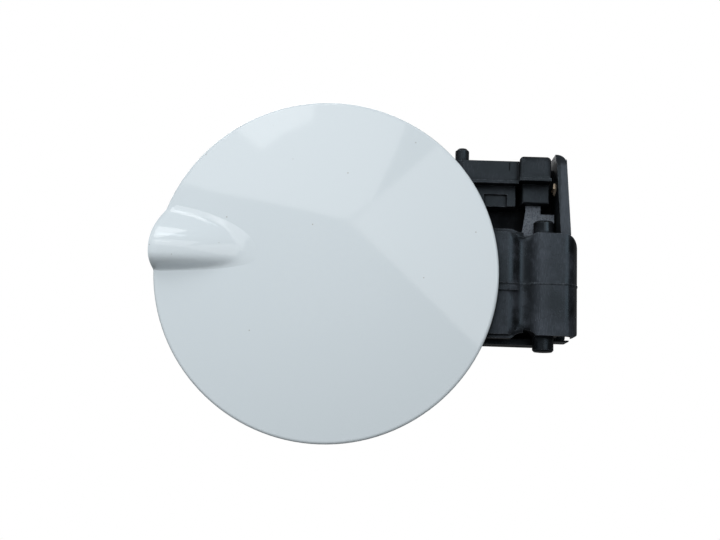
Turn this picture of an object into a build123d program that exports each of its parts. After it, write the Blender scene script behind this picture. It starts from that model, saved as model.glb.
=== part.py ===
from build123d import *
import math
import os

# Round car fuel door on a swinging arm, with the moulded carrier that is fixed to the car body.
# Frame: x to the hinge side, y to the back, z up, seen from the front (from -y).
# The origin lies on the carrier's rear face, straight behind the middle of the hinge axis.
# All sizes are in millimetres.

# Hinge axis and pin
axis_depth = 20.0
pin_diameter = 5.0
pin_seat_gap = 0.02
pin_run_gap = 0.05
pin_inset = 2.0

# Round door panel
door_diameter = 160.0
door_wall = 2.6
door_crown = 3.5
door_reach = 102.8
door_rise = 2.4
rim_depth = 7.0
rim_wall = 2.2
rim_gap = 0.3
edge_radius = 1.5
ring_rib_radius = 35.0
rib_wall = 1.6
rib_count = 4

# Finger hood on the free side of the panel
hood_height = 9.5
hood_nose = 40.4
hood_low = -2.6
hood_high = 25.2
hood_crest = 6.3
hood_lower_power = 3.5
hood_upper_power = 1.9
hood_blend = 1.5
hood_dive = 0.04
hood_lip = 1.6
hood_lip_roll = 1.0
hood_lip_reach = 3.0
hood_wall = 2.4
hood_low_margin = 3.0
hood_high_margin = 9.0
hood_nose_margin = 14.0
hood_grid = 0.8
hood_fit = 0.01

# Arm that carries the panel
arm_height = 48.5
arm_skin = 2.8
arm_stand = 10.0
crest_stand = 9.5
valley_middle = -10.5
valley_half = 8.0
valley_depth = 3.0
waist_half = 6.0
waist_top = 1.6
waist_bottom = 2.8
curl_reach = 16.0
shoulder_radius = 6.0
shoulder_turn = 55.0
curl_radius = 14.0
curl_end = 3.0
curl_corner_top = 8.0
curl_corner_bottom = 3.0
pad_length = 80.0
pad_tip_height = 26.0
pad_corner = 8.0
flange_depth = 7.0
flange_wall = 2.4
flange_stand = 1.6
flange_setback = 2.0
parting_height = 0.5
parting_stand = 0.25
arm_rib_low = -3.6
arm_rib_high = -1.2
arm_rib_end = -13.2
arm_rib_stand = 0.8

# Round bosses and cam knuckles at the arm's two ends
boss_diameter = 10.0
boss_rise = 7.0
boss_chamfer = 0.8
knuckle_height = 7.0
cam_radius = 6.25
cam_flat = 6.0
web_left = -9.0
web_right = 5.6
open_angle = 95.0

# Screws that hold the panel on the arm
screw_diameter = 3.5
screw_length = 8.0
screw_gap = 0.02
screw_hole_gap = 0.35
head_diameter = 7.0
head_height = 2.2
screw_boss_wall = 2.3
screw_inset = 10.0
screw_pair_x = -46.0
screw_pair_half = 14.0

# Carrier that is fixed to the car
plate_wall = 3.0
base_bottom = -27.6
tab_bottom = -25.4
tab_right = 13.4
base_corner = 3.0
side_wall = 2.4
side_front = 5.0
bar_low = 49.2
bar_high = 60.3
bar_front = -2.0
block_left = -12.5
block_right = 2.6
block_low = 49.9
block_high = 62.0
block_front = -6.0
block_corner = 2.0
block_edge = 1.2
tier_left = -10.4
tier_right = 2.8
tier_low = 40.4
tier_front = 1.0
tier_edge = 0.8
shelf_right = -13.4
shelf_low = 39.1
shelf_front = 3.0
recess_left = -28.5
recess_right = -17.4
recess_high = 44.9
recess_depth = 1.4
lip_height = 1.5
lip_stand = 0.7
moulding_wall = 2.4
peg_diameter = 6.8
peg_root_depth = 4.4
peg_x = -39.5
peg_top = 66.8
peg_depth = 3.0
peg_chamfer = 1.2
right_wall_front = -4.0
right_wall_width = 4.9
right_wall_top = 64.5
right_wall_x = 5.2
right_wall_lean = 2.4
right_wall_flat = 0.5
right_wall_slope = 3.0
right_wall_slope_height = 6.0
floor_front = 6.6
arm_side_gap = 0.4
web_depth = 5.0
web_low = 49.0
web_high = 58.0

# Ears of the carrier that hold the pin
ear_radius = 5.8
ear_height = 7.0
ear_gap = 0.4
ear_neck_left = -16.0
stop_gap = 0.5

# Screw holes that fix the carrier to the car
fix_diameter = 5.5
fix_x = -31.0
fix_middle = 4.0
fix_spacing = 42.0
fix_pad = 2.75
fix_pad_rise = 1.5

# Leaf spring behind the upper knuckle
leaf_thickness = 0.8
leaf_gap = 0.2
leaf_slot_gap = 0.05
leaf_left = -9.9
leaf_right = 6.0
leaf_foot_right = 4.8
leaf_shoulder = 36.3
leaf_corner = 1.5
leaf_foot_gap = 0.9
tongue_left = -7.9
tongue_right = -0.6
tongue_grip = 7.0

# Positions that follow from the sizes above
axis_y = -axis_depth
arm_front = axis_y - arm_stand
crest_front = axis_y - crest_stand
valley_floor = arm_front + valley_depth
arm_half = arm_height / 2
pad_tip = -pad_length
door_radius = door_diameter / 2
crown_top = rim_depth + door_crown
crown_radius = (door_radius**2 + door_crown**2) / (2 * door_crown)
panel_edge = -door_reach + door_radius + rim_gap
hood_edge = -door_radius - hood_lip
hood_top = rim_depth + hood_height
boss_top = arm_half + boss_rise
knuckle_inner = arm_half - knuckle_height
pin_radius = pin_diameter / 2
screw_radius = screw_diameter / 2
base_left = peg_x
plate_front = -plate_wall
leaf_front = axis_y + cam_radius + leaf_gap
leaf_back = leaf_front + leaf_thickness
screw_places = [
    (pad_tip + screw_inset, 0.0),
    (screw_pair_x, screw_pair_half),
    (screw_pair_x, -screw_pair_half),
]

# The panel is drawn in its own front view: x right, y up, z towards the viewer, from the arm's front face.
door_plane = Plane(origin=(-door_reach, arm_front, door_rise), x_dir=(1, 0, 0), z_dir=(0, -1, 0))


def front_prism(outline, front, back):
    """Solid with a front-view outline (x right, z up) between two depths."""
    return extrude(Plane.XZ.offset(-back) * outline, amount=back - front)


def front_box(left, right, low, high, front, back):
    """Straight block given by its front view and its two depths."""
    outline = Pos((left + right) / 2, (low + high) / 2) * Rectangle(right - left, high - low)
    return front_prism(outline, front, back)


def plan_prism(outline, low, high):
    """Solid with a plan-view outline (x right, y back) between two heights."""
    return extrude(Plane.XY.offset(low) * outline, amount=high - low)


def upright(x, y, radius, low, high):
    """Upright round bar."""
    return plan_prism(Pos(x, y) * Circle(radius), low, high)


def through_bar(x, z, radius, front, back):
    """Round bar that lies front to back."""
    return front_prism(Pos(x, z) * Circle(radius), front, back)


# Door panel

def dome_height(distance, wall=0.0):
    """Height of the crowned face, or of its underside, at a distance from the panel's middle."""
    return crown_top - crown_radius + math.sqrt((crown_radius - wall)**2 - distance**2)


def dome_arc(start, end, wall):
    """Arc of the crowned face, or of its underside, between two distances from the middle."""
    points = [(r, dome_height(r, wall)) for r in (start, (start + end) / 2, end)]
    return ThreePointArc(*points)


def panel_body():
    """Crowned disc with a rounded outer edge, before it is hollowed."""
    corner = (door_radius, dome_height(door_radius))
    edges = [
        dome_arc(0, door_radius, 0),
        Polyline(corner, (door_radius, rim_gap), (0, rim_gap), (0, dome_height(0))),
    ]
    section = make_face(edges)
    section = fillet(section.vertices().sort_by_distance(Vector(*corner))[:1], edge_radius)
    return revolve(Plane.XZ * section, Axis.Z)


def panel_shell():
    """Crowned disc of even wall with a short rim."""
    inner = door_radius - rim_wall
    edges = [
        dome_arc(0, inner, door_wall),
        Polyline((inner, dome_height(inner, door_wall)), (inner, 0), (0, 0), (0, dome_height(0, door_wall))),
    ]
    return panel_body() - revolve(Plane.XZ * make_face(edges), Axis.Z)


def dome_fill(low):
    """Solid space between a height and the middle of the panel's wall, used to trim ribs and bosses."""
    wall = door_wall / 2
    edges = [
        dome_arc(0, door_radius - rim_wall / 2, wall),
        Polyline(
            (door_radius - rim_wall / 2, dome_height(door_radius - rim_wall / 2, wall)),
            (door_radius - rim_wall / 2, low),
            (0, low),
            (0, dome_height(0, wall)),
        ),
    ]
    return revolve(Plane.XZ * make_face(edges), Axis.Z)


def back_ribs():
    """Ring rib and radial ribs that stiffen the panel from behind."""
    ring = Circle(ring_rib_radius + rib_wall / 2) - Circle(ring_rib_radius - rib_wall / 2)
    spoke_length = door_radius - ring_rib_radius
    spoke = Pos(ring_rib_radius + spoke_length / 2, 0) * Rectangle(spoke_length, rib_wall)
    ribs = extrude(ring, amount=crown_top)
    for index in range(rib_count):
        ribs += extrude(Rot(0, 0, (index + 0.5) * 360 / rib_count) * spoke, amount=crown_top)
    return ribs & dome_fill(rim_depth / 2)


def hood_ridge_radius():
    """Radius of the hood's ridge, an arc that falls from the panel's edge to the nose."""
    run = -hood_nose - hood_edge
    fall = hood_top - dome_height(hood_nose)
    return (run**2 + fall**2) / (2 * fall)


def hood_share(across, wall):
    """Share of the height at a place across the hood, or across its hollow.

    The lower flank is steep, the crest round and the upper flank easy."""
    if across < hood_crest:
        foot = hood_low + wall
        power = hood_lower_power
    else:
        foot = hood_high - wall
        power = hood_upper_power
    return 1 - abs((across - hood_crest) / (foot - hood_crest))**power


def lip_circle():
    """Centre and radius of the lip's plan: a circle that passes the panel's edge between the hood's two feet."""
    low = math.asin(hood_low / door_radius)
    high = math.asin(hood_high / door_radius)
    half = door_radius * math.sin((high - low) / 2)
    sagitta = door_radius + hood_lip - door_radius * math.cos((high - low) / 2)
    radius = (half**2 + sagitta**2) / (2 * sagitta)
    centre = Vector(hood_edge + radius, 0).rotate(Axis.Z, -math.degrees((low + high) / 2))
    return centre.X, centre.Y, radius


def hood_face_height(x, y):
    """Height of the panel's face at the hood, whose flanks run into the crowned face in a smooth curve.

    It rolls off towards the lip, and well outside the hood it dives a little below the crowned face."""
    ridge = hood_ridge_radius()
    section = ridge - (1 - hood_share(y, 0)) * hood_height
    ground = dome_height(math.hypot(x, y))
    rise = hood_top - ridge + math.sqrt(section**2 - (x - hood_edge)**2) - ground
    blended = (rise * (1 + hood_dive) + math.hypot(rise, hood_blend) * (1 - hood_dive)) / 2
    lip_x, lip_y, lip_radius = lip_circle()
    inside = lip_radius - math.hypot(x - lip_x, y - lip_y)
    roll = hood_lip_roll * max(1 - inside / hood_lip_reach, 0)**2
    return ground + blended - roll


def spread(start, end):
    """Evenly spaced values, about one grid step apart."""
    count = round((end - start) / hood_grid)
    return [start + (end - start) * index / count for index in range(count + 1)]


def hood_block():
    """Solid below the hood's face, larger than the hood all round."""
    columns = spread(hood_edge - hood_lip, -hood_nose + hood_nose_margin)
    rows = spread(hood_low - hood_low_margin, hood_high + hood_high_margin)
    points = [[Vector(x, y, hood_face_height(x, y)) for y in rows] for x in columns]
    face = Face.make_surface_from_array_of_points(points, tol=hood_fit)
    return extrude(face, amount=2 * crown_top, dir=(0, 0, -1))


def finger_hood():
    """Raised hood, trimmed to the panel's wall and to the plan of its lip."""
    reach = door_radius + 2 * hood_lip
    top = 2 * hood_top
    wall = door_wall / 2
    above = make_face([
        dome_arc(0, reach, wall),
        Polyline((reach, dome_height(reach, wall)), (reach, top), (0, top), (0, dome_height(0, wall))),
    ])
    lip_x, lip_y, lip_radius = lip_circle()
    plan = Pos(lip_x, lip_y) * Circle(lip_radius)
    return revolve(Plane.XZ * above, Axis.Z) & extrude(plan, amount=top) & hood_block()


def finger_hollow():
    """Hollow under the hood, open to the back and to the free side for a finger."""
    low = hood_low + hood_wall
    high = hood_high - hood_wall
    height = hood_height - hood_wall
    crest = [(y, rim_depth + hood_share(y, hood_wall) * height) for y in spread(low, high)]
    section = make_face([
        Spline(*crest),
        Polyline(crest[-1], (high, -crown_top), (low, -crown_top), crest[0]),
    ])
    ridge = hood_ridge_radius()
    ridge_axis = Axis((hood_edge, 0, hood_top - ridge), (0, 1, 0))
    plane = Plane(origin=(hood_edge, 0, 0), x_dir=(0, 1, 0), z_dir=(1, 0, 0))
    overrun = math.degrees(hood_lip / ridge)
    turn = math.degrees(math.asin((-hood_nose - hood_wall - hood_edge) / ridge))
    return revolve((plane * section).rotate(ridge_axis, -overrun), ridge_axis, turn + overrun)


def screw_bosses():
    """Bosses on the panel's back that meet the arm's pad."""
    bosses = Part()
    for x, z in screw_places:
        place = Pos(x + door_reach, z - door_rise)
        bosses += extrude(place * Circle(screw_radius + screw_boss_wall), amount=crown_top)
    return bosses & dome_fill(0)


def screw_bores():
    """Blind holes in the bosses for the screws."""
    depth = screw_length - arm_skin + screw_gap
    bores = Part()
    for x, z in screw_places:
        place = Pos(x + door_reach, z - door_rise)
        bores += extrude(place * Circle(screw_radius + screw_gap), amount=depth)
    return bores


def door_panel():
    panel = panel_shell() + finger_hood() - finger_hollow()
    panel += back_ribs() + screw_bosses()
    return door_plane * (panel - screw_bores())


# Arm

def arm_line(inset):
    """Plan-view line of the arm's front skin, moved inwards by an inset."""
    valley_start = (valley_middle - valley_half, arm_front + inset)
    valley_low = (valley_middle, valley_floor + inset)
    valley_end = (valley_middle + valley_half, crest_front + inset)
    turn = math.radians(shoulder_turn)
    tighter = curl_radius - shoulder_radius
    shoulder_x = curl_reach - curl_radius + tighter * math.sin(turn)
    shoulder_y = crest_front + shoulder_radius
    curl_x = curl_reach - curl_radius
    curl_y = shoulder_y + tighter * math.cos(turn)
    end_x = curl_reach - inset
    return [
        Line((pad_tip, arm_front + inset), valley_start),
        Spline(valley_start, valley_low, valley_end, tangents=[(1, 0), (1, 0), (1, 0)]),
        Line(valley_end, (shoulder_x, crest_front + inset)),
        CenterArc((shoulder_x, shoulder_y), shoulder_radius - inset, -90, shoulder_turn),
        CenterArc((curl_x, curl_y), curl_radius - inset, shoulder_turn - 90, 90 - shoulder_turn),
        Line((end_x, curl_y), (end_x, axis_y + curl_end)),
    ]


def arm_band(outer, inner):
    """Plan-view face between two insets of the arm's front line."""
    ends = [
        Line((pad_tip, arm_front + outer), (pad_tip, arm_front + inner)),
        Line((curl_reach - outer, axis_y + curl_end), (curl_reach - inner, axis_y + curl_end)),
    ]
    return make_face(arm_line(outer) + arm_line(inner) + ends)


def arm_inside():
    """Plan-view face of the space behind the middle of the arm's skin."""
    back = axis_y + curl_end
    middle = arm_skin / 2
    closing = Polyline(
        (curl_reach - middle, back), (pad_tip, back), (pad_tip, arm_front + middle)
    )
    return make_face(arm_line(middle) + [closing])


def waist_arc(edge, rise):
    """Shallow scoop in the arm's upper or lower edge, across the valley."""
    return ThreePointArc(
        (valley_middle - waist_half, edge),
        (valley_middle, edge + rise),
        (valley_middle + waist_half, edge),
    )


def arm_outline():
    """Front view of the arm: tapered pad, waist and rounded curl corners."""
    tip = pad_tip_height / 2
    left = valley_middle - waist_half
    right = valley_middle + waist_half
    edges = [
        waist_arc(arm_half, -waist_top),
        waist_arc(-arm_half, waist_bottom),
        Polyline((right, arm_half), (curl_reach, arm_half), (curl_reach, -arm_half), (right, -arm_half)),
        Polyline((left, arm_half), (screw_pair_x, arm_half), (pad_tip, tip)),
        Line((pad_tip, tip), (pad_tip, -tip)),
        Polyline((pad_tip, -tip), (screw_pair_x, -arm_half), (left, -arm_half)),
    ]
    outline = make_face(edges)
    outline = fillet(outline.vertices().sort_by_distance(Vector(curl_reach, arm_half))[:1], curl_corner_top)
    outline = fillet(outline.vertices().sort_by_distance(Vector(curl_reach, -arm_half))[:1], curl_corner_bottom)
    tips = outline.vertices().group_by(Axis.X)[0]
    return fillet(tips, pad_corner)


def arm_flange(outline):
    """Edge flange that stiffens the pad from behind and stands a little past its edge."""
    outer = offset(outline, amount=flange_stand)
    ring = outer - offset(outline, amount=flange_stand - flange_wall)
    flange = front_prism(ring, arm_front + flange_setback, arm_front + flange_depth)
    reach = arm_half + flange_stand
    keep = front_box(pad_tip - flange_stand, valley_middle, -reach, reach, arm_front, axis_y)
    return flange & keep


def knuckle(low, high):
    """Cam round the axis, with the web that joins it to the arm's crest."""
    cam = Circle(cam_radius)
    for direction in (90.0, 90.0 - open_angle):
        slab = Pos(cam_flat + cam_radius / 2, 0) * Rectangle(cam_radius, 3 * cam_radius)
        cam -= Rot(0, 0, direction) * slab
    web = Pos((web_left + web_right) / 2, (arm_front + axis_y) / 2) * Rectangle(
        web_right - web_left, axis_y - arm_front
    )
    return plan_prism(Pos(0, axis_y) * cam + (web & arm_inside()), low, high)


def arm_bosses():
    """Round bosses that stand above and below the arm, with chamfered ends."""
    boss = upright(0, axis_y, boss_diameter / 2, -boss_top, boss_top)
    ends = boss.edges().filter_by(GeomType.CIRCLE)
    boss = chamfer(ends, boss_chamfer)
    middle = upright(0, axis_y, boss_diameter, -knuckle_inner, knuckle_inner)
    return boss - middle


def parting_ridge():
    """Fine ridge where the mould's halves met."""
    ridge = plan_prism(arm_band(-parting_stand, arm_skin / 2), -parting_height / 2, parting_height / 2)
    right = curl_reach + parting_stand
    front = arm_front - parting_stand
    return ridge & front_box(panel_edge, right, -parting_height, parting_height, front, axis_y + curl_end)


def arm_rib():
    """Short raised rib that runs from the panel's edge into the valley."""
    front = arm_front - arm_rib_stand
    back = valley_floor + arm_skin / 2
    return front_box(panel_edge, arm_rib_end, arm_rib_low, arm_rib_high, front, back)


def hinge_arm():
    outline = arm_outline()
    whole = front_prism(outline, arm_front, axis_y + axis_depth)
    skin = plan_prism(arm_band(0, arm_skin), -arm_half, arm_half)
    knuckles = knuckle(knuckle_inner, arm_half) + knuckle(-arm_half, -knuckle_inner)
    arm = (skin + knuckles) & whole
    arm += arm_flange(outline) + arm_bosses() + arm_rib() + parting_ridge()
    arm -= upright(0, axis_y, pin_radius + pin_seat_gap, -boss_top, boss_top - pin_inset)
    for x, z in screw_places:
        arm -= through_bar(x, z, screw_radius + screw_hole_gap, arm_front, arm_front + arm_skin)
    return arm


def hinge_pin():
    pin = upright(0, axis_y, pin_radius, -boss_top + pin_inset, boss_top - pin_inset)
    return chamfer(pin.edges().filter_by(GeomType.CIRCLE), pin_radius / 5)


def panel_screw(x, z):
    """Pan-head screw, driven from behind through the pad into the panel's boss."""
    seat = arm_front + arm_skin
    head = through_bar(x, z, head_diameter / 2, seat, seat + head_height)
    rim = head.edges().filter_by(GeomType.CIRCLE).sort_by(Axis.Y)[-1]
    head = chamfer(rim, head_height / 3)
    shank = through_bar(x, z, screw_radius, seat - screw_length, seat)
    return head + shank


def panel_screws():
    return Compound(children=[Part(panel_screw(x, z).wrapped) for x, z in screw_places])


# Carrier

def base_plate():
    """Back plate, whose right edge follows the leaning wall."""
    wall_right = right_wall_x + right_wall_width
    outline = make_face(
        Polyline(
            (base_left, base_bottom),
            (0, base_bottom),
            (0, tab_bottom),
            (tab_right, tab_bottom),
            (wall_right + right_wall_lean, arm_half),
            (wall_right, web_high),
            (base_left, web_high),
            close=True,
        )
    )
    corners = [(base_left, base_bottom), (base_left, web_high), (tab_right, tab_bottom)]
    rounded = [outline.vertices().sort_by_distance(Vector(*corner))[0] for corner in corners]
    return front_prism(fillet(rounded, base_corner), plate_front, 0)


def moulded_block(left, right, low, high, front):
    """Block cored out from the rear face, so that its walls are even."""
    return front_box(left, right, low, high, axis_y + front, 0)


def block_core(left, right, low, high, front):
    """Rear core of a moulded block."""
    wall = moulding_wall
    return front_box(left + wall, right - wall, low + wall, high - wall, axis_y + front + wall, 0)


def bar():
    """Upper bar between the peg and the block."""
    return front_box(base_left, block_left, bar_low, bar_high, axis_y + bar_front, 0)


def upper_block():
    """Larger block beside the bar, with rounded top corners and a soft front edge."""
    block = moulded_block(block_left, block_right, block_low, block_high, block_front)
    corners = block.edges().filter_by(Axis.Y).group_by(Axis.Z)[-1]
    block = fillet(corners, block_corner)
    front = block.faces().sort_by(Axis.Y)[0]
    return fillet(front.edges().sort_by(Axis.Z)[1:], block_edge)


def lower_tier():
    """Second tier below the block, which grips the leaf spring."""
    tier = moulded_block(tier_left, tier_right, tier_low, block_low, tier_front)
    front = tier.faces().sort_by(Axis.Y)[0]
    return fillet(front.edges().sort_by(Axis.Z)[:-1], tier_edge)


def lip(left, right, low, front):
    """Thin lip along the lower front edge of a block."""
    return front_box(left, right, low, low + lip_height, axis_y + front - lip_stand, axis_y + front)


def right_wall():
    """Leaning side wall above the arm, with a rounded outer corner and a bevelled top."""
    low = arm_half + arm_side_gap
    right = right_wall_x + right_wall_width
    outline = make_face(
        Polyline(
            (right_wall_x, right_wall_top),
            (right, right_wall_top),
            (right + right_wall_lean, low),
            (right_wall_x + right_wall_lean, low),
            close=True,
        )
    )
    corner = outline.vertices().sort_by_distance(Vector(right, right_wall_top))[0]
    front = axis_y + right_wall_front
    wall = front_prism(fillet(corner, right_wall_width - right_wall_flat), front, 0)
    slope = make_face(
        Polyline(
            (front, right_wall_top - right_wall_slope_height),
            (front, right_wall_top),
            (front + right_wall_slope, right_wall_top),
            close=True,
        )
    )
    return wall - extrude(Plane.YZ.offset(right_wall_x) * slope, amount=right_wall_width)


def base_walls():
    """Low walls along the bottom and the left of the plate, and the web behind the side wall."""
    top = -arm_half - arm_side_gap
    front = axis_y + floor_front
    floor = front_box(base_left, 0, base_bottom, top, front, 0)
    tab = front_box(0, tab_right, tab_bottom, top, front, 0)
    outer = tab.edges().filter_by(Axis.Y).group_by(Axis.X)[-1].sort_by(Axis.Z)[0]
    tab = fillet(outer, (top - tab_bottom) / 2)
    left = front_box(base_left, base_left + side_wall, base_bottom, bar_low, axis_y + side_front, 0)
    link = front_box(block_right, right_wall_x + right_wall_lean, web_low, web_high, axis_y + web_depth, 0)
    return floor + tab + left + link


def peg():
    """Round locating peg at the free end of the bar, on an oval root."""
    y = axis_y + peg_depth
    radius = peg_diameter / 2
    post = upright(base_left, y, radius, bar_high, peg_top)
    rim = post.edges().filter_by(GeomType.CIRCLE).sort_by(Axis.Z)[-1]
    root = plan_prism(Pos(base_left, y) * Ellipse(radius, peg_root_depth), bar_low, bar_high)
    return chamfer(rim, peg_chamfer) + root


def ear(low, high):
    """Ear round the pin, on a neck that clears the arm and stops its curled end."""
    curl_at_stop = Vector(curl_reach, curl_end).rotate(Axis.Z, open_angle)
    neck_right = curl_at_stop.X - stop_gap
    neck = Pos((ear_neck_left + neck_right) / 2, (axis_y + plate_front) / 2) * Rectangle(
        neck_right - ear_neck_left, plate_front - axis_y
    )
    bridge = make_face(
        Polyline((0, axis_y), (0, axis_y + ear_radius), (neck_right, axis_y + ear_radius),
                 (neck_right, axis_y), close=True)
    )
    eye = Pos(0, axis_y) * Circle(ear_radius)
    return plan_prism(eye + neck + bridge, low, high)


def fix_places():
    """Heights of the two holes that fix the carrier."""
    return [fix_middle - fix_spacing / 2, fix_middle + fix_spacing / 2]


def hinge_base():
    base = base_plate() + base_walls() + bar() + upper_block() + right_wall() + peg()
    base += lower_tier()
    base += moulded_block(base_left, shelf_right, shelf_low, bar_low, shelf_front)
    base += lip(base_left, block_left, bar_low, bar_front)
    base += lip(block_left, block_right, block_low, block_front)
    ear_top = knuckle_inner - ear_gap
    base += ear(ear_top - ear_height, ear_top) + ear(-ear_top, ear_height - ear_top)
    for z in fix_places():
        base += through_bar(fix_x, z, fix_diameter / 2 + fix_pad, plate_front - fix_pad_rise, 0)
    base -= block_core(base_left, block_left, bar_low, bar_high, peg_depth + peg_diameter / 2)
    base -= block_core(block_left, block_right, block_low, block_high, block_front)
    base -= block_core(base_left, shelf_right, shelf_low, bar_low, shelf_front)
    shelf_face = axis_y + shelf_front
    base -= front_box(recess_left, recess_right, shelf_low, recess_high, shelf_face, shelf_face + recess_depth)
    base -= upright(0, axis_y, pin_radius + pin_run_gap, -arm_half, arm_half)
    for z in fix_places():
        base -= through_bar(fix_x, z, fix_diameter / 2, plate_front - fix_pad_rise, 0)
    slot = front_box(
        tongue_left - leaf_slot_gap,
        tongue_right + leaf_slot_gap,
        tier_low,
        tier_low + tongue_grip,
        leaf_front - leaf_slot_gap,
        leaf_back + leaf_slot_gap,
    )
    return base - slot


def leaf_spring():
    """Sheet-steel leaf: a tongue gripped by the carrier and a wide foot behind the upper cam."""
    foot = knuckle_inner + leaf_foot_gap
    outline = make_face(
        Polyline(
            (tongue_left, tier_low + tongue_grip),
            (tongue_right, tier_low + tongue_grip),
            (tongue_right, leaf_shoulder),
            (leaf_right, leaf_shoulder),
            (leaf_right, arm_half + arm_side_gap),
            (leaf_foot_right, arm_half + arm_side_gap),
            (leaf_foot_right, foot),
            (leaf_left, foot),
            (leaf_left, arm_half),
            (tongue_left, leaf_shoulder + leaf_corner),
            close=True,
        )
    )
    return front_prism(outline, leaf_front, leaf_back)


pieces = {
    "door_panel": door_panel,
    "hinge_arm": hinge_arm,
    "hinge_pin": hinge_pin,
    "panel_screws": panel_screws,
    "hinge_base": hinge_base,
    "leaf_spring": leaf_spring,
}

os.makedirs("parts", exist_ok=True)
for name, make in pieces.items():
    export_step(make(), f"parts/{name}.step")
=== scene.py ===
import math

import bpy
from mathutils import Matrix, Vector


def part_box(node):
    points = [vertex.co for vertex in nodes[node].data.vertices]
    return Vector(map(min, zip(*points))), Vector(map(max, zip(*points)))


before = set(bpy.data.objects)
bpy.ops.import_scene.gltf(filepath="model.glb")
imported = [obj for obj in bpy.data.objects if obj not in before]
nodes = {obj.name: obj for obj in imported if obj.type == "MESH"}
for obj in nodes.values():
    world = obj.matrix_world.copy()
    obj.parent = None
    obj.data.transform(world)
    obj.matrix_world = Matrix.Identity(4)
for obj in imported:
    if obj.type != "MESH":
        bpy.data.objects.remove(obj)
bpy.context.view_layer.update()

# The photograph's frame, in pixels, and the camera that fits it
PHOTO_WIDTH = 720
PHOTO_HEIGHT = 540
PIXELS_PER_METRE = 2164.0
CAMERA_DISTANCE = 0.50
CAMERA_AZIMUTH = math.radians(1.0)
CAMERA_ELEVATION = math.radians(-9.0)
CAMERA_ROLL = math.radians(2.0)
DOOR_PIXEL = (325.8, 269.2)
SENSOR_WIDTH = 36.0
NEAREST_SEEN = 0.01
FARTHEST_SEEN = 20

# Depths on the panel, in metres from the seats of its bosses, and the rise of its crown
DOOR_PLANE_DEPTH = 0.0065
CROWN_DEPTH = 0.0105
CROWN_RISE = 0.0035

# How near the panel's axis, in metres, a mesh point counts as the middle of a crowned face
POLE_TOLERANCE = 0.00001

# Colours of the painted panel, the black plastics and the steels; the plastics' lighter colours and edge
# colour carry painted highlight as well as wear, and their near black is painted shade in gaps
PAINT_COLOUR = (0.655, 0.727, 0.77)
DUST_COLOUR = (0.42, 0.44, 0.44)
ARM_DARK = (0.003, 0.0034, 0.004)
ARM_RUBBED_AND_HIGHLIT = (0.075, 0.085, 0.105)
BASE_DARK = (0.003, 0.0033, 0.0037)
BASE_RUBBED_AND_HIGHLIT = (0.042, 0.047, 0.056)
CREVICE_SHADE_BLACK = (0.001, 0.001, 0.001)
BLACK_SHEEN = (0.80, 0.98, 1.14)
EDGE_WEAR_AND_HIGHLIGHT = (0.12, 0.135, 0.155)
PALE_FLECK_COLOUR = (0.6, 0.5, 0.38)
LEAF_LIGHT = (0.135, 0.155, 0.182)
LEAF_DARK = (0.062, 0.072, 0.088)
PIN_COLOUR = (0.55, 0.56, 0.58)
SCREW_COLOUR = (0.5, 0.5, 0.52)

# Relief, worn and highlit edges, softened edges and the reach of the painted shade in gaps, in metres
PEEL_DEPTH = 0.0000015
GRAIN_DEPTH = 0.000018
SPOT_DEPTH = 0.00003
TURNING_DEPTH = 0.000004
WORN_AND_HIGHLIT_EDGE = 0.0006
SOFT_EDGE = 0.0004
SOFTEST_EDGE = 0.0045
SHELTER_REACH = 0.02

# Wear and painted highlight of the black plastics: their strength, the scratches, and how far the clouds
# spread the roughness
WEAR_AND_HIGHLIGHT_STRENGTH = 0.4
SCRATCH_HEIGHT = 0.6
SMOOTHER = 0.06
ROUGHER = 0.08
SHELTERED_ROUGHNESS = 0.95

# Part of a speck's size over which it is whole
SPECK_CORE = 0.6

# Places in the part's frame, in metres: boxes with their low corner, high corner and soft edge
# Painted highlight: the arm's barrel is made lighter in this box.
ARM_BARREL_HIGHLIGHT = ((-0.0065, -0.035, -0.030), (0.0005, -0.028, 0.030), 0.003)
POLISHED_BOSS = ((-0.007, -0.030, 0.0262), (0.007, -0.010, 0.040), 0.0004)
ARM_VALLEY = ((-0.0175, -0.034, -0.024), (-0.0070, -0.024, 0.024), 0.0015)
# Partly scuffs and partly painted highlight: the carrier's outer wall is made lighter in this box.
WALL_SCUFFS_AND_HIGHLIGHT = ((0.0075, -0.030, 0.0), (0.0140, -0.0235, 0.0660), 0.0006)
BLOCK_FRONT = ((-0.0110, -0.028, 0.0525), (0.0020, -0.024, 0.0620), 0.0005)
DEEP_TRAY = ((-0.0430, -0.0110, -0.0270), (0.0060, -0.0020, 0.0600), 0.0015)
BAR_MARK = ((-0.0172, -0.0225, 0.0557), (-0.0167, -0.0215, 0.0596), 0.0001)

# Middle of the pale fleck, in metres of the part's frame, and its tightness along each axis
FLECK_PLACE = (0.0058, -0.0130, 0.0488)
FLECK_SCALE = (1150, 150, 270)

# Stretch of the noise along each axis, for upright scratches and for turning marks
SCRATCH_STRETCH = (1, 1, 0.15)
TURNING_STRETCH = (1, 1, 12)

# Numbers of a mix node's sockets, which share their names between values and colours
MIX_VALUES = (2, 3)
MIX_VALUE_RESULT = 0
MIX_COLOURS = (6, 7)
MIX_COLOUR_RESULT = 2

# Studio floor and wall, in metres, and the steps of their rounds
FLOOR_HEIGHT = -0.35
FLOOR_RADIUS = 3.0
BEND_RADIUS = 0.6
BEND_STEPS = 12
ROUND_STEPS = 64
WALL_HEIGHT = 4.0

# Upright planes of the soft boxes in front of the door, as places along Y in metres
BOX_PLANE = -1.3
NEAR_BOX_PLANE = -1.25

# Colours of the studio, and the direction from which its surround is brightest
WHITE = (1, 1, 1)
LIGHT_PANEL_COLOUR = (0.85, 0.95, 1.0)
SURROUND_COLOUR = (0.97, 0.99, 1.0)
BRIGHTEST_SIDE = (-0.12, -0.62, 0.78)

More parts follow.
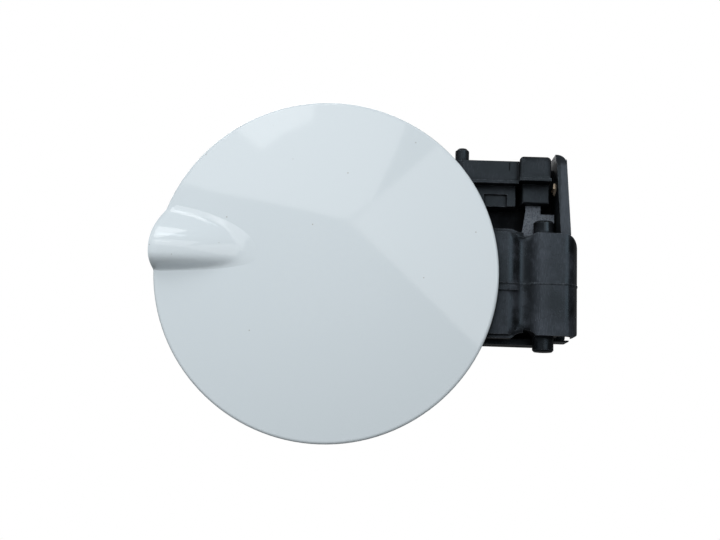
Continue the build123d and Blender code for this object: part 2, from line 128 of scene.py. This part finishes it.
# Corners of the soft boxes, as the pixels of the panel in which they are mirrored
LEFT_BOX_PIXELS = [(120, 176), (347, 220), (373, 200), (397, 150), (418, 85), (120, 60)]
BRIGHT_BOX_PIXELS = [(236, 132), (250, 108), (318, 96), (313, 122), (282, 134), (262, 150)]
RIGHT_BOX_PIXELS = [(350, 222), (437, 147), (540, 58), (560, 300), (480, 350)]


# The panel's geometry

def door_middle():
    """Middle of the round panel on the plane that the camera was fitted to."""
    low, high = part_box("door_panel")
    radius = (high.z - low.z) / 2
    return Vector((high.x - radius, high.y - DOOR_PLANE_DEPTH, low.z + radius))


def crown_sphere():
    """Centre and radius of the panel's crowned face."""
    low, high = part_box("door_panel")
    radius = (high.z - low.z) / 2
    crown_radius = (radius**2 + CROWN_RISE**2) / (2 * CROWN_RISE)
    middle = door_middle()
    return Vector((middle.x, high.y - CROWN_DEPTH + crown_radius, middle.z)), crown_radius


def mend_poles():
    """Sets straight normals at the middles of the panel's crowned faces, where the mesh has stray ones."""
    mesh = nodes["door_panel"].data
    middle = door_middle()
    poles = set()
    for vertex in mesh.vertices:
        if math.hypot(vertex.co.x - middle.x, vertex.co.z - middle.z) < POLE_TOLERANCE:
            poles.add(vertex.index)
    for edge in mesh.edges:
        if poles.intersection(edge.vertices):
            edge.use_edge_sharp = True
    normals = [corner.vector.copy() for corner in mesh.corner_normals]
    for face in mesh.polygons:
        for corner in face.loop_indices:
            if mesh.loops[corner].vertex_index in poles:
                normals[corner] = Vector((0, math.copysign(1, face.normal.y), 0))
    mesh.normals_split_custom_set(normals)


# Camera

def camera_axes():
    """Right, up and backward directions of the camera."""
    back = Vector((
        math.sin(CAMERA_AZIMUTH) * math.cos(CAMERA_ELEVATION),
        -math.cos(CAMERA_AZIMUTH) * math.cos(CAMERA_ELEVATION),
        math.sin(CAMERA_ELEVATION),
    ))
    level = Vector((math.cos(CAMERA_AZIMUTH), math.sin(CAMERA_AZIMUTH), 0))
    upright = back.cross(level)
    right = level * math.cos(CAMERA_ROLL) + upright * math.sin(CAMERA_ROLL)
    up = upright * math.cos(CAMERA_ROLL) - level * math.sin(CAMERA_ROLL)
    return right, up, back


def camera_place():
    """Camera position that puts the panel's middle on its pixel of the photograph."""
    right, up, back = camera_axes()
    aside = (PHOTO_WIDTH / 2 - DOOR_PIXEL[0]) / PIXELS_PER_METRE
    above = (DOOR_PIXEL[1] - PHOTO_HEIGHT / 2) / PIXELS_PER_METRE
    return door_middle() + right * aside + up * above + back * CAMERA_DISTANCE


def make_camera():
    """Camera that sees the part as the photograph does."""
    data = bpy.data.cameras.new("camera")
    data.sensor_width = SENSOR_WIDTH
    data.lens = SENSOR_WIDTH * CAMERA_DISTANCE * PIXELS_PER_METRE / PHOTO_WIDTH
    data.clip_start = NEAREST_SEEN
    data.clip_end = FARTHEST_SEEN
    camera = bpy.data.objects.new("camera", data)
    bpy.context.scene.collection.objects.link(camera)
    turn = Matrix(camera_axes()).transposed()
    camera.matrix_world = Matrix.Translation(camera_place()) @ turn.to_4x4()
    bpy.context.scene.camera = camera


def pixel_direction(pixel):
    """Direction in which the camera sees a pixel."""
    right, up, back = camera_axes()
    focal = CAMERA_DISTANCE * PIXELS_PER_METRE
    aside = (pixel[0] - PHOTO_WIDTH / 2) / focal
    above = (PHOTO_HEIGHT / 2 - pixel[1]) / focal
    return (right * aside + up * above - back).normalized()


# Material building

def new_material(name):
    """Node material with its Principled shader."""
    material = bpy.data.materials.new(name)
    material.use_nodes = True
    return material, material.node_tree.nodes["Principled BSDF"]


def feed(material, socket, value):
    """Sets a socket to a constant, or links it to an output."""
    if isinstance(value, bpy.types.NodeSocket):
        material.node_tree.links.new(value, socket)
    else:
        socket.default_value = value


def plug(material, node, name, value):
    """Feeds a node's input of the given name."""
    feed(material, node.inputs[name], value)


def add_node(material, kind, settings=None, **inputs):
    """Adds a node; an input is a constant or another node's output."""
    node = material.node_tree.nodes.new(kind)
    for key, value in (settings or {}).items():
        setattr(node, key, value)
    for key, value in inputs.items():
        plug(material, node, key.replace("_", " "), value)
    return node


def object_place(material):
    """Object coordinates, in metres of the part's own frame."""
    return add_node(material, "ShaderNodeTexCoord").outputs["Object"]


def stretched(material, place, scale):
    """Coordinates scaled apart along the three axes."""
    return add_node(material, "ShaderNodeMapping", Vector=place, Scale=scale).outputs["Vector"]


def noise(material, place, scale, detail=2.0, roughness=0.5):
    """Grey noise of about the given count per metre."""
    return add_node(
        material, "ShaderNodeTexNoise", Vector=place, Scale=scale, Detail=detail, Roughness=roughness
    ).outputs["Fac"]


def ramp(material, value, low, high, start=0.0, end=1.0):
    """Smooth step of a value from one range to another."""
    node = add_node(material, "ShaderNodeMapRange", {"interpolation_type": "SMOOTHSTEP"}, Value=value)
    plug(material, node, "From Min", low)
    plug(material, node, "From Max", high)
    plug(material, node, "To Min", start)
    plug(material, node, "To Max", end)
    return node.outputs["Result"]


def blend(material, share, first, second):
    """Mix of two colours by a share."""
    node = add_node(material, "ShaderNodeMix", {"data_type": "RGBA"})
    plug(material, node, "Factor", share)
    for number, value in zip(MIX_COLOURS, (first, second)):
        if not isinstance(value, bpy.types.NodeSocket):
            value = (*value, 1)
        feed(material, node.inputs[number], value)
    return node.outputs[MIX_COLOUR_RESULT]


def combine(material, operation, first, second):
    """Arithmetic on two values."""
    node = add_node(material, "ShaderNodeMath", {"operation": operation})
    for socket, value in zip(node.inputs, (first, second)):
        feed(material, socket, value)
    return node.outputs["Value"]


def combine_vectors(material, operation, *vectors):
    """Node for arithmetic on one or two vectors."""
    node = add_node(material, "ShaderNodeVectorMath", {"operation": operation})
    for socket, vector in zip(node.inputs, vectors):
        feed(material, socket, vector)
    return node


def edge_share(material, radius):
    """One along sharp edges, falling to nought within a radius of them."""
    rounded = add_node(material, "ShaderNodeBevel", {"samples": 4}, Radius=radius).outputs["Normal"]
    plain = add_node(material, "ShaderNodeNewGeometry").outputs["Normal"]
    turned = combine_vectors(material, "DOT_PRODUCT", rounded, plain)
    return ramp(material, turned.outputs["Value"], low=0.98, high=0.8)


def sheltered(material, reach):
    """One in the open, falling to nought deep in gaps and corners narrower than a reach."""
    node = add_node(material, "ShaderNodeAmbientOcclusion", {"samples": 8}, Distance=reach)
    return ramp(material, node.outputs["AO"], low=0.25, high=0.85)


def inside(material, place, box):
    """One inside a box of the part's frame, falling to nought over its soft edge."""
    low, high, soft = box
    axes = add_node(material, "ShaderNodeSeparateXYZ", Vector=place)
    share = 1.0
    for axis, near, far in zip("XYZ", low, high):
        above = ramp(material, axes.outputs[axis], near - soft, near + soft)
        below = ramp(material, axes.outputs[axis], far + soft, far - soft)
        share = combine(material, "MULTIPLY", share, combine(material, "MULTIPLY", above, below))
    return share


def specks(material, place, scale, size):
    """Sparse small dots: one where a cell's point is near, else nought."""
    cell = add_node(material, "ShaderNodeTexVoronoi", Vector=place, Scale=scale)
    return ramp(material, cell.outputs["Distance"], size, size * SPECK_CORE)


def bumped(material, height, depth, normal=None):
    """Surface normal of a height of the given depth in metres."""
    node = add_node(material, "ShaderNodeBump", Height=height, Distance=depth, Strength=1.0)
    if normal is not None:
        plug(material, node, "Normal", normal)
    return node.outputs["Normal"]


def cover(material, shader, share, colour):
    """Lays a colour over the shader's colour where the share is one."""
    under = shader.inputs["Base Color"].links[0].from_socket
    plug(material, shader, "Base Color", blend(material, share, under, colour))


def change_roughness(material, shader, share, roughness):
    """Moves the shader's roughness to another value where the share is one."""
    under = shader.inputs["Roughness"].links[0].from_socket
    node = add_node(material, "ShaderNodeMix", {"data_type": "FLOAT"})
    plug(material, node, "Factor", share)
    for number, value in zip(MIX_VALUES, (under, roughness)):
        feed(material, node.inputs[number], value)
    plug(material, shader, "Roughness", node.outputs[MIX_VALUE_RESULT])


def dress(node, material):
    """Gives a node one material."""
    mesh = nodes[node].data
    mesh.materials.clear()
    mesh.materials.append(material)


# Materials

def paint():
    """Pale bluish gloss paint with a trace of orange peel and a few specks of dust."""
    material, shader = new_material("paint")
    place = object_place(material)
    dust = specks(material, place, scale=90, size=0.035)
    plug(material, shader, "Base Color", blend(material, dust, PAINT_COLOUR, DUST_COLOUR))
    peel = noise(material, place, scale=420, detail=1.0)
    plug(material, shader, "Normal", bumped(material, peel, PEEL_DEPTH))
    shader.inputs["Roughness"].default_value = 0.05
    shader.inputs["IOR"].default_value = 1.5
    return material


def upright_scratches(material, place):
    """One on fine upright scratches, else nought."""
    upright = stretched(material, place, SCRATCH_STRETCH)
    streaks = noise(material, upright, scale=2100, detail=3.0, roughness=0.7)
    return ramp(material, streaks, low=0.4, high=0.75)


def wear_and_highlight_share(material, place, clouds, scratches, scuff_and_highlight_box, scuff_and_highlight_strength):
    """Share of the lighter colour: rubbed, scratched clouds all over, and more of it inside a box, which
    stands for painted highlight on the arm and for scuffs with painted highlight on the carrier.
    """
    brushing = ramp(material, scratches, low=0.0, high=1.0, start=0.55, end=1.45)
    clouded = combine(material, "MULTIPLY", clouds, brushing)
    scuffed_and_highlit = combine(material, "MULTIPLY", inside(material, place, scuff_and_highlight_box), scuff_and_highlight_strength)
    wear_and_highlight = combine(material, "ADD", clouded, combine(material, "MULTIPLY", scuffed_and_highlit, brushing))
    return combine(material, "MULTIPLY", wear_and_highlight, WEAR_AND_HIGHLIGHT_STRENGTH)


def worn_and_highlit_edges(material, place):
    """One on patches along sharp edges, which turn lighter as wear and as painted highlight, else nought.
    """
    chips = noise(material, place, scale=330, detail=5.0, roughness=0.8)
    chipped = ramp(material, chips, low=0.38, high=0.62)
    return combine(material, "MULTIPLY", edge_share(material, WORN_AND_HIGHLIT_EDGE), chipped)


def plastic_relief(material, place, scratches, softened_box):
    """Normal of grained and scratched plastic, with edges that are softer inside a box."""
    grain = noise(material, place, scale=2400, detail=3.0)
    height = combine(material, "ADD", grain, combine(material, "MULTIPLY", scratches, SCRATCH_HEIGHT))
    softened = inside(material, place, softened_box)
    radius = ramp(material, softened, low=0.0, high=1.0, start=SOFT_EDGE, end=SOFTEST_EDGE)
    rounded = add_node(material, "ShaderNodeBevel", {"samples": 8}, Radius=radius).outputs["Normal"]
    return bumped(material, height, GRAIN_DEPTH, rounded)


def worn_plastic(name, dark, rubbed_and_highlit, roughness, shine, scuff_and_highlight_box, scuff_and_highlight_strength, softened_box):
    """Black moulded plastic with rubbed clouds, a lighter box, fine upright scratches, edges lighter from
    wear and painted highlight, painted shade near black in its gaps and corners, and a fine grain.
    """
    material, shader = new_material(name)
    place = object_place(material)
    clouds = noise(material, place, scale=75, detail=3.0, roughness=0.55)
    clouds = ramp(material, clouds, low=0.38, high=0.68)
    scratches = upright_scratches(material, place)
    wear_and_highlight = wear_and_highlight_share(material, place, clouds, scratches, scuff_and_highlight_box, scuff_and_highlight_strength)
    unshaded_share = sheltered(material, SHELTER_REACH)
    colour = blend(material, wear_and_highlight, dark, rubbed_and_highlit)
    # Wear and painted highlight: sharp edges turn light grey in patches.
    colour = blend(material, worn_and_highlit_edges(material, place), colour, EDGE_WEAR_AND_HIGHLIGHT)
    # Painted shade: gaps and corners darken to near black.
    colour = blend(material, unshaded_share, CREVICE_SHADE_BLACK, colour)
    plug(material, shader, "Base Color", colour)
    plug(material, shader, "Normal", plastic_relief(material, place, scratches, softened_box))
    cloudy = ramp(material, clouds, low=0.0, high=1.0, start=roughness - SMOOTHER, end=roughness + ROUGHER)
    plug(material, shader, "Roughness", cloudy)
    hidden = combine(material, "SUBTRACT", 1.0, unshaded_share)
    change_roughness(material, shader, hidden, SHELTERED_ROUGHNESS)
    shader.inputs["Specular IOR Level"].default_value = shine
    shader.inputs["Specular Tint"].default_value = (*BLACK_SHEEN, 1)
    return material, shader


def arm_plastic():
    """Black plastic of the swinging arm, with a painted highlight along its barrel and a polished upper
    boss.
    """
    material, shader = worn_plastic(
        "arm_plastic", ARM_DARK, ARM_RUBBED_AND_HIGHLIT, roughness=0.26, shine=0.3,
        scuff_and_highlight_box=ARM_BARREL_HIGHLIGHT, scuff_and_highlight_strength=0.9, softened_box=ARM_VALLEY
    )
    place = object_place(material)
    change_roughness(material, shader, inside(material, place, POLISHED_BOSS), roughness=0.12)
    return material


def pale_fleck(material, place):
    """One on a small pale ragged fleck beside the carrier's block, else nought."""
    aside = combine_vectors(material, "SUBTRACT", place, FLECK_PLACE)
    shape = stretched(material, aside.outputs["Vector"], FLECK_SCALE)
    distance = combine_vectors(material, "LENGTH", shape)
    edge_noise = noise(material, place, scale=900, detail=3.0, roughness=0.7)
    ragged = combine(material, "ADD", distance.outputs["Value"], edge_noise)
    return ramp(material, ragged, low=1.45, high=1.25)


def base_plastic():
    """Black plastic of the carrier, lighter on its outer wall from scuffs and painted highlight, with a
    pale fleck and a mark on its bar.
    """
    material, shader = worn_plastic(
        "base_plastic", BASE_DARK, BASE_RUBBED_AND_HIGHLIT, roughness=0.36, shine=0.29,
        scuff_and_highlight_box=WALL_SCUFFS_AND_HIGHLIGHT, scuff_and_highlight_strength=3.4, softened_box=BLOCK_FRONT
    )
    place = object_place(material)
    cover(material, shader, pale_fleck(material, place), PALE_FLECK_COLOUR)
    change_roughness(material, shader, inside(material, place, BAR_MARK), roughness=1.0)
    change_roughness(material, shader, inside(material, place, DEEP_TRAY), roughness=1.0)
    return material


def speckled_steel():
    """Dull grey sheet steel with small dark specks."""
    material, shader = new_material("spring_steel")
    place = object_place(material)
    spots = noise(material, place, scale=1500, detail=3.0, roughness=0.7)
    spots = ramp(material, spots, low=0.45, high=0.62)
    plug(material, shader, "Base Color", blend(material, spots, LEAF_LIGHT, LEAF_DARK))
    plug(material, shader, "Normal", bumped(material, spots, SPOT_DEPTH))
    shader.inputs["Roughness"].default_value = 0.6
    shader.inputs["Metallic"].default_value = 0.3
    return material


def turned_steel(name, colour):
    """Bare steel with fine turning marks."""
    material, shader = new_material(name)
    place = object_place(material)
    marks = noise(material, stretched(material, place, TURNING_STRETCH), scale=900, detail=3.0)
    plug(material, shader, "Roughness", ramp(material, marks, low=0.3, high=0.7, start=0.25, end=0.4))
    plug(material, shader, "Normal", bumped(material, marks, TURNING_DEPTH))
    shader.inputs["Base Color"].default_value = (*colour, 1)
    shader.inputs["Metallic"].default_value = 1.0
    return material


def glow(name, colour, strength):
    """Plain light-giving surface that isn't sampled as a lamp."""
    material = bpy.data.materials.new(name)
    material.use_nodes = True
    material.cycles.emission_sampling = "NONE"
    tree = material.node_tree
    tree.nodes.clear()
    light = add_node(material, "ShaderNodeEmission", Color=(*colour, 1), Strength=strength)
    output = add_node(material, "ShaderNodeOutputMaterial")
    tree.links.new(light.outputs["Emission"], output.inputs["Surface"])
    return material


# Studio

def mesh_object(name, points, faces, material):
    """Object made from points and faces."""
    mesh = bpy.data.meshes.new(name)
    mesh.from_pydata([tuple(point) for point in points], [], faces)
    mesh.materials.append(material)
    thing = bpy.data.objects.new(name, mesh)
    bpy.context.scene.collection.objects.link(thing)
    return thing


def floor_profile():
    """Radii and heights of the floor's bend and of the wall above it."""
    profile = []
    for step in range(BEND_STEPS + 1):
        turn = math.pi / 2 * step / BEND_STEPS
        out = FLOOR_RADIUS - BEND_RADIUS + BEND_RADIUS * math.sin(turn)
        profile.append((out, BEND_RADIUS - BEND_RADIUS * math.cos(turn)))
    profile.append((FLOOR_RADIUS, WALL_HEIGHT))
    return profile


def make_floor():
    """Pale round floor that bends up into a pale wall, kept out of the part's own shading."""
    profile = floor_profile()
    points = []
    for out, height in profile:
        for step in range(ROUND_STEPS):
            turn = 2 * math.pi * step / ROUND_STEPS
            points.append((out * math.cos(turn), out * math.sin(turn), FLOOR_HEIGHT + height))
    faces = [tuple(range(ROUND_STEPS))]
    for row in range(len(profile) - 1):
        for step in range(ROUND_STEPS):
            here = row * ROUND_STEPS + step
            beside = row * ROUND_STEPS + (step + 1) % ROUND_STEPS
            faces.append((here, beside, beside + ROUND_STEPS, here + ROUND_STEPS))
    floor = mesh_object("floor", points, faces, glow("floor", WHITE, strength=1.0))
    floor.visible_diffuse = False
    floor.visible_glossy = False
    floor.visible_shadow = False


def mirrored_place(pixel, plane):
    """Point on an upright plane in front of the door that the crowned panel mirrors into a pixel."""
    centre, crown_radius = crown_sphere()
    eye = camera_place()
    ray = pixel_direction(pixel)
    offset = eye - centre
    along = ray.dot(offset)
    travel = -along - math.sqrt(along**2 - offset.length_squared + crown_radius**2)
    point = eye + ray * travel
    normal = (point - centre).normalized()
    mirrored = ray - 2 * ray.dot(normal) * normal
    return point + mirrored * (plane - point.y) / mirrored.y


def show_only_mirrored(thing):
    """Hides an object from the camera, from soft shading and from shadows."""
    thing.visible_camera = False
    thing.visible_diffuse = False
    thing.visible_shadow = False


def soft_box(name, pixels, strength, plane):
    """Flat light in front of the door that shows only as a mirrored shape."""
    corners = [mirrored_place(pixel, plane) for pixel in pixels]
    box = mesh_object(name, corners, [tuple(range(len(corners)))], glow(name, WHITE, strength))
    show_only_mirrored(box)


def light_panel(name, place, width, height, strength):
    """Flat light that faces the door from a place measured from its middle, and shows only mirrored."""
    middle = door_middle() + Vector(place)
    across = Vector((place[1], -place[0], 0)).normalized() * width / 2
    rise = across.cross(Vector(place)).normalized() * height / 2
    corners = [
        middle - across - rise,
        middle + across - rise,
        middle + across + rise,
        middle - across + rise,
    ]
    panel = mesh_object(name, corners, [(0, 1, 2, 3)], glow(name, LIGHT_PANEL_COLOUR, strength))
    show_only_mirrored(panel)


def area_light(name, place, size, power, mirrored=True):
    """Soft square light aimed at the panel's middle, from a place measured from there."""
    data = bpy.data.lights.new(name, "AREA")
    data.shape = "SQUARE"
    data.size = size
    data.energy = power
    light = bpy.data.objects.new(name, data)
    light.location = door_middle() + Vector(place)
    light.rotation_mode = "QUATERNION"
    light.rotation_quaternion = (-Vector(place)).to_track_quat("-Z", "Y")
    light.visible_glossy = mirrored
    bpy.context.scene.collection.objects.link(light)


def make_world():
    """Surround that is bright from above and in front, and dark from below and behind."""
    world = bpy.data.worlds.new("surround")
    world.use_nodes = True
    background = world.node_tree.nodes["Background"]
    direction = add_node(world, "ShaderNodeTexCoord").outputs["Generated"]
    brightest = Vector(BRIGHTEST_SIDE).normalized()
    side = combine_vectors(world, "DOT_PRODUCT", direction, brightest)
    level = ramp(world, side.outputs["Value"], low=0.1, high=1.0, start=0.09, end=0.56)
    background.inputs["Color"].default_value = (*SURROUND_COLOUR, 1)
    plug(world, background, "Strength", level)
    bpy.context.scene.world = world


mend_poles()
dress("door_panel", paint())
dress("hinge_arm", arm_plastic())
dress("hinge_base", base_plastic())
dress("hinge_pin", turned_steel("pin_steel", PIN_COLOUR))
dress("panel_screws", turned_steel("screw_steel", SCREW_COLOUR))
dress("leaf_spring", speckled_steel())

bpy.context.scene.view_settings.view_transform = "Standard"
make_world()
make_floor()
soft_box("left_box", LEFT_BOX_PIXELS, strength=2.0, plane=BOX_PLANE)
soft_box("right_box", RIGHT_BOX_PIXELS, strength=1.75, plane=BOX_PLANE)
soft_box("bright_box", BRIGHT_BOX_PIXELS, strength=3.6, plane=NEAR_BOX_PLANE)
light_panel("right_panel", place=(0.44, -0.55, 0.2), width=0.3, height=0.3, strength=2.8)
light_panel("crest_strip", place=(-0.156, -0.6, 0.68), width=0.26, height=0.10, strength=2.8)
area_light("key", place=(-0.2, -0.30, 0.42), size=0.25, power=0.62)
area_light("front", place=(-0.02, -0.7, 0.10), size=0.2, power=2.5, mirrored=False)
area_light("right_fill", place=(0.75, 0.15, 0.25), size=0.3, power=1.5, mirrored=False)
area_light("left_fill", place=(-0.5, -0.12, -0.05), size=0.2, power=0.25, mirrored=False)
area_light("back", place=(-0.15, 0.8, 0.45), size=0.6, power=4.5)
make_camera()
